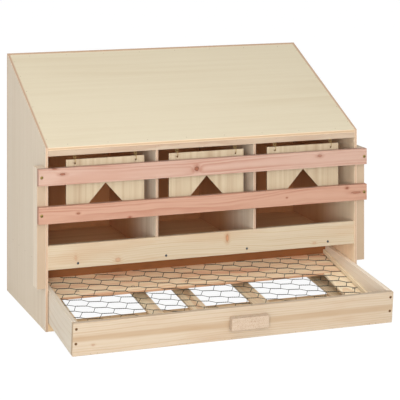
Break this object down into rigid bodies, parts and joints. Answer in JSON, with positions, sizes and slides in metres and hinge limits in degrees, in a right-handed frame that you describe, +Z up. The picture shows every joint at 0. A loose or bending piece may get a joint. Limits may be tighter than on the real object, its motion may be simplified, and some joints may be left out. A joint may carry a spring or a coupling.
{
  "type": "nesting box",
  "caption": "Wooden hen nesting box with a sloped roof, nest compartments behind hanging flaps, front perches and a sloping roll-out egg drawer floored with wire netting.",
  "frame": {"origin": "middle of the underside of the front base rail, on the floor", "axes": "+X to the right as seen from the front, along the perches, the longest extent; +Y from the front to the back panel, the shortest extent; +Z up from the floor"},
  "size_m": [0.91, 0.6065, 0.65],
  "materials": {
    "case_plywood": "bare sanded plywood, matt",
    "roof_plywood": "bare pale plywood, matt",
    "flap_plywood": "bare plywood, matt, dark sawn edges",
    "case_batten": "planed softwood, matt",
    "lip_pine": "planed yellowish pine, satin",
    "perch_pine": "planed reddish pine with small knots, satin",
    "drawer_pine": "planed striped pine, satin",
    "handle_wood": "end-grain block, speckled, matt",
    "screw_brass": "dull yellow plating",
    "hanger_wire": "thin dull wire",
    "netting_wire": "galvanised wire, dull grey-green"
  },
  "bodies": {
    "case": {"side_panel_left": "case_plywood", "side_panel_right": "case_plywood", "back_panel": "case_plywood", "divider_left": "case_plywood", "divider_right": "case_plywood", "nest_floor": "case_plywood", "roof_panel": "roof_plywood", "front_fascia": "case_batten", "rear_top_batten": "case_batten", "lip_cleat_left": "case_batten", "lip_cleat_middle": "case_batten", "lip_cleat_right": "case_batten", "floor_ledge_left": "case_batten", "floor_ledge_right": "case_batten", "base_rail_front": "case_batten", "base_rail_rear": "case_batten", "drawer_runner_left": "case_batten", "drawer_runner_right": "case_batten", "perch_batten_left": "case_batten", "perch_batten_right": "case_batten", "nest_lip": "lip_pine", "perch_upper": "perch_pine", "perch_lower": "perch_pine", "perch_screw_left_upper": "screw_brass", "perch_screw_left_lower": "screw_brass", "perch_screw_right_upper": "screw_brass", "perch_screw_right_lower": "screw_brass", "hanger_eye_1": "hanger_wire", "hanger_eye_2": "hanger_wire", "hanger_eye_3": "hanger_wire", "hanger_eye_4": "hanger_wire", "hanger_eye_5": "hanger_wire", "hanger_eye_6": "hanger_wire"},
    "egg_drawer": {"drawer_front": "drawer_pine", "drawer_back": "drawer_pine", "drawer_side_left": "drawer_pine", "drawer_side_right": "drawer_pine", "drawer_slat_1": "drawer_pine", "drawer_slat_2": "drawer_pine", "drawer_slat_3": "drawer_pine", "drawer_slat_4": "drawer_pine", "drawer_slat_5": "drawer_pine", "netting_board_rear": "drawer_pine", "netting_board_left": "drawer_pine", "netting_board_right": "drawer_pine", "netting_strip_left": "drawer_pine", "netting_strip_right": "drawer_pine", "drawer_handle": "handle_wood", "egg_netting": "netting_wire"},
    "left_flap": {"flap_left": "flap_plywood", "flap_ring_1": "hanger_wire", "flap_ring_2": "hanger_wire"},
    "middle_flap": {"flap_middle": "flap_plywood", "flap_ring_3": "hanger_wire", "flap_ring_4": "hanger_wire"},
    "right_flap": {"flap_right": "flap_plywood", "flap_ring_5": "hanger_wire", "flap_ring_6": "hanger_wire"}
  },
  "joints": [
    {"name": "drawer_slide", "type": "slide", "parent": "case", "child": "egg_drawer", "axis": [0, -0.9945, -0.1045], "range_m": [-0.2059, 0]},
    {"name": "left_flap_swing", "type": "hinge", "parent": "case", "child": "left_flap", "pos_m": [-0.275, -0.0035, 0.4274], "axis": [1, 0, 0], "range_deg": [0, 80]},
    {"name": "middle_flap_swing", "type": "hinge", "parent": "case", "child": "middle_flap", "pos_m": [0, -0.0035, 0.4274], "axis": [1, 0, 0], "range_deg": [0, 80]},
    {"name": "right_flap_swing", "type": "hinge", "parent": "case", "child": "right_flap", "pos_m": [0.275, -0.0035, 0.4274], "axis": [1, 0, 0], "range_deg": [0, 80]}
  ]
}
